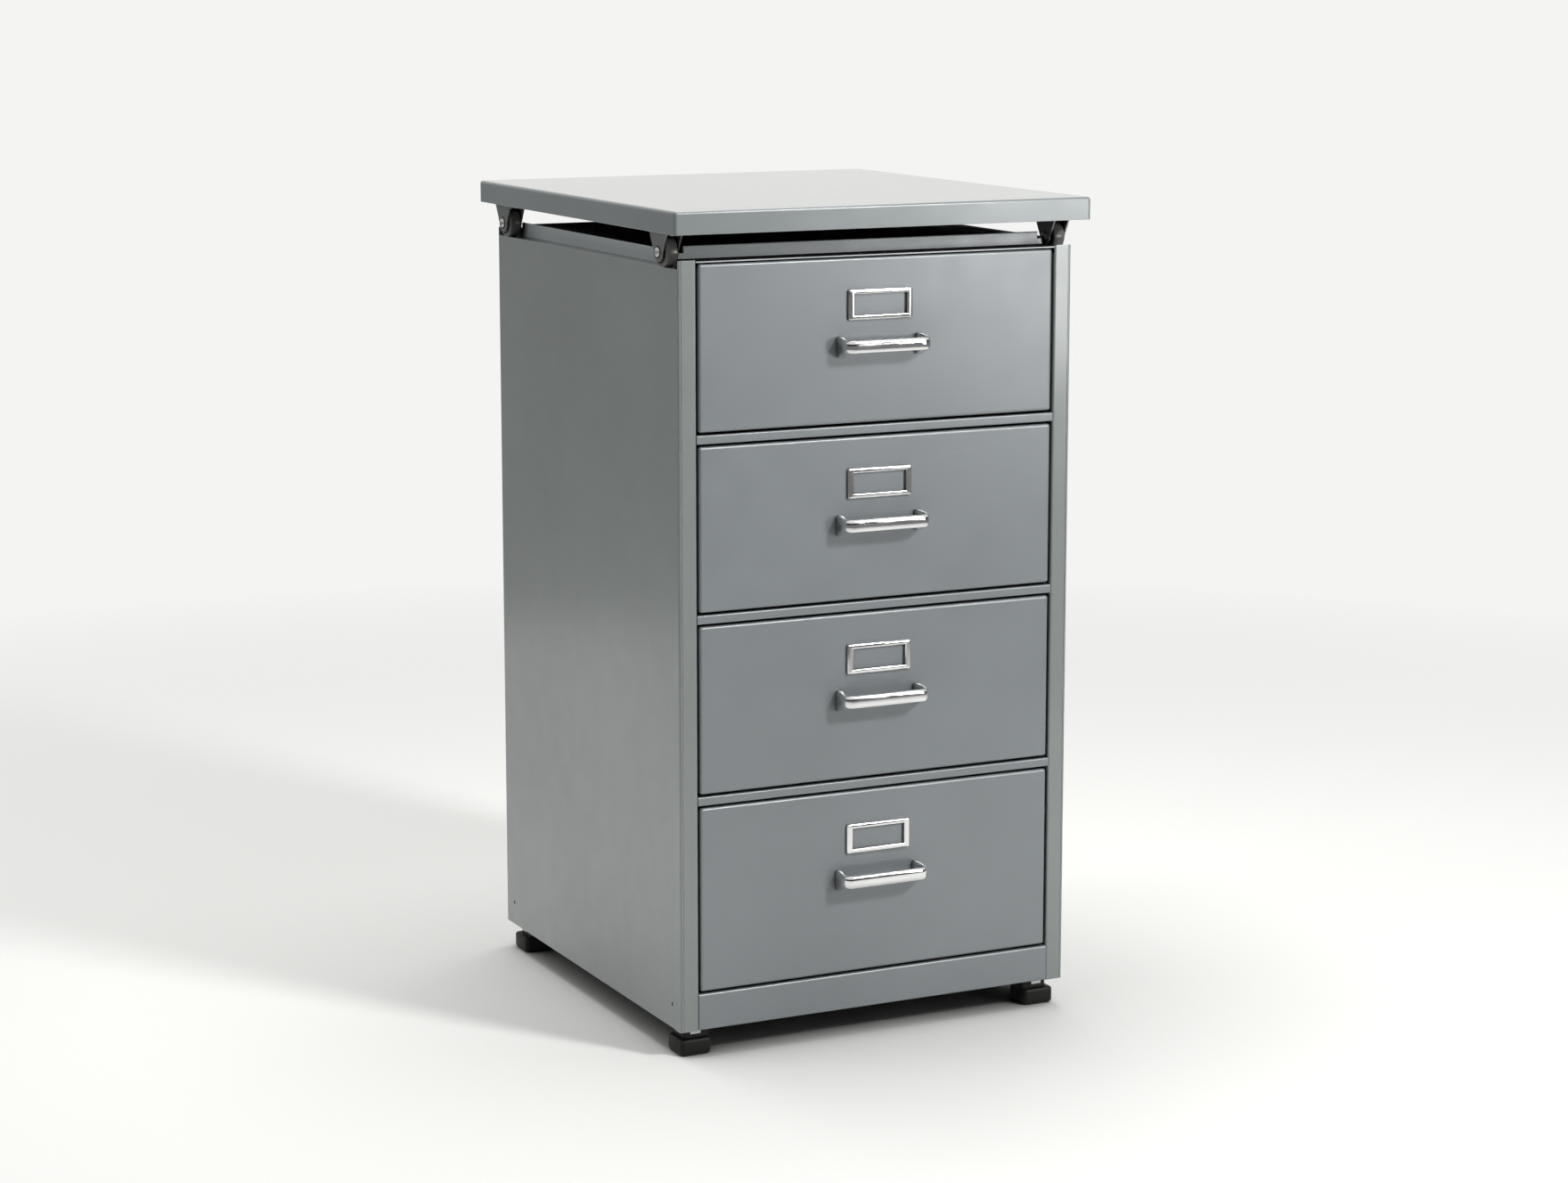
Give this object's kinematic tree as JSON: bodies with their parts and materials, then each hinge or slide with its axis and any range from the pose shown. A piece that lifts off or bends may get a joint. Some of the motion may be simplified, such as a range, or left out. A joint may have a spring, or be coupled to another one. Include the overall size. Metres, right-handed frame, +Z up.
{
  "type": "drawer cabinet",
  "caption": "Steel drawer cabinet on moulded feet, with bow handles, label frames and a flat top that rolls on short castors along ledges at its sides.",
  "frame": {"origin": "on the floor, under the middle of the whole outline including handles and top", "axes": "+Z up; -Y is the front with the drawers; +X to the right seen from the front"},
  "size_m": [0.453, 0.5054, 0.832],
  "materials": {
    "body_paint": "satin grey enamel",
    "front_paint": "satin grey enamel",
    "drawer_paint": "satin grey enamel",
    "top_paint": "satin pale grey enamel",
    "chrome": "polished",
    "zinc_plate": "bright zinc plate",
    "foot_plastic": "matt black",
    "wheel_plastic": "matt dark grey",
    "nylon": "smooth natural nylon"
  },
  "bodies": {
    "cabinet": {"left_side_panel": "body_paint", "right_side_panel": "body_paint", "back_panel": "body_paint", "cap_panel": "body_paint", "front_rail_1": "body_paint", "front_rail_2": "body_paint", "front_rail_3": "body_paint", "base_rail": "body_paint", "bottom_pan": "body_paint", "runner_pair_1": "zinc_plate", "runner_pair_2": "zinc_plate", "runner_pair_3": "zinc_plate", "runner_pair_4": "zinc_plate", "runner_glides": "nylon", "foot_front_left": "foot_plastic", "foot_front_right": "foot_plastic", "foot_rear_left": "foot_plastic", "foot_rear_right": "foot_plastic", "foot_plates": "zinc_plate", "foot_screws": "zinc_plate"},
    "drawer_1": {"drawer_1_front": "front_paint", "drawer_1_box": "drawer_paint", "drawer_1_slide_pair": "zinc_plate", "drawer_1_glides": "nylon", "drawer_1_handle": "chrome", "drawer_1_handle_screws": "zinc_plate", "drawer_1_label_holder": "chrome"},
    "drawer_2": {"drawer_2_front": "front_paint", "drawer_2_box": "drawer_paint", "drawer_2_slide_pair": "zinc_plate", "drawer_2_glides": "nylon", "drawer_2_handle": "chrome", "drawer_2_handle_screws": "zinc_plate", "drawer_2_label_holder": "chrome"},
    "drawer_3": {"drawer_3_front": "front_paint", "drawer_3_box": "drawer_paint", "drawer_3_slide_pair": "zinc_plate", "drawer_3_glides": "nylon", "drawer_3_handle": "chrome", "drawer_3_handle_screws": "zinc_plate", "drawer_3_label_holder": "chrome"},
    "drawer_4": {"drawer_4_front": "front_paint", "drawer_4_box": "drawer_paint", "drawer_4_slide_pair": "zinc_plate", "drawer_4_glides": "nylon", "drawer_4_handle": "chrome", "drawer_4_handle_screws": "zinc_plate", "drawer_4_label_holder": "chrome"},
    "top": {"top_plate": "top_paint", "castor_axles": "zinc_plate", "castor_screws": "zinc_plate", "castor_fork_front_left": "zinc_plate", "castor_fork_front_right": "zinc_plate", "castor_fork_rear_left": "zinc_plate", "castor_fork_rear_right": "zinc_plate"},
    "wheel_front_left": {"castor_wheel_front_left": "wheel_plastic"},
    "wheel_front_right": {"castor_wheel_front_right": "wheel_plastic"},
    "wheel_rear_left": {"castor_wheel_rear_left": "wheel_plastic"},
    "wheel_rear_right": {"castor_wheel_rear_right": "wheel_plastic"}
  },
  "joints": [
    {"name": "drawer_1_slide", "type": "slide", "parent": "cabinet", "child": "drawer_1", "axis": [0, -1, 0], "range_m": [0, 0.33]},
    {"name": "drawer_2_slide", "type": "slide", "parent": "cabinet", "child": "drawer_2", "axis": [0, -1, 0], "range_m": [0, 0.33]},
    {"name": "drawer_3_slide", "type": "slide", "parent": "cabinet", "child": "drawer_3", "axis": [0, -1, 0], "range_m": [0, 0.33]},
    {"name": "drawer_4_slide", "type": "slide", "parent": "cabinet", "child": "drawer_4", "axis": [0, -1, 0], "range_m": [0, 0.33]},
    {"name": "top_slide", "type": "slide", "parent": "cabinet", "child": "top", "axis": [0, 1, 0], "range_m": [-0.016, 0.012]},
    {"name": "wheel_front_left_spin", "type": "hinge", "parent": "top", "child": "wheel_front_left", "pos_m": [-0.212, -0.1951, 0.7904], "axis": [1, 0, 0], "range_deg": [-50, 65]},
    {"name": "wheel_front_right_spin", "type": "hinge", "parent": "top", "child": "wheel_front_right", "pos_m": [0.212, -0.1951, 0.7904], "axis": [1, 0, 0], "range_deg": [-50, 65]},
    {"name": "wheel_rear_left_spin", "type": "hinge", "parent": "top", "child": "wheel_rear_left", "pos_m": [-0.212, 0.2021, 0.7904], "axis": [1, 0, 0], "range_deg": [-50, 65]},
    {"name": "wheel_rear_right_spin", "type": "hinge", "parent": "top", "child": "wheel_rear_right", "pos_m": [0.212, 0.2021, 0.7904], "axis": [1, 0, 0], "range_deg": [-50, 65]}
  ],
  "couplings": [
    {"joint": "wheel_front_left_spin", "follows": "top_slide", "rad_per_m": -68.493},
    {"joint": "wheel_front_right_spin", "follows": "top_slide", "rad_per_m": -68.493},
    {"joint": "wheel_rear_left_spin", "follows": "top_slide", "rad_per_m": -68.493},
    {"joint": "wheel_rear_right_spin", "follows": "top_slide", "rad_per_m": -68.493}
  ]
}
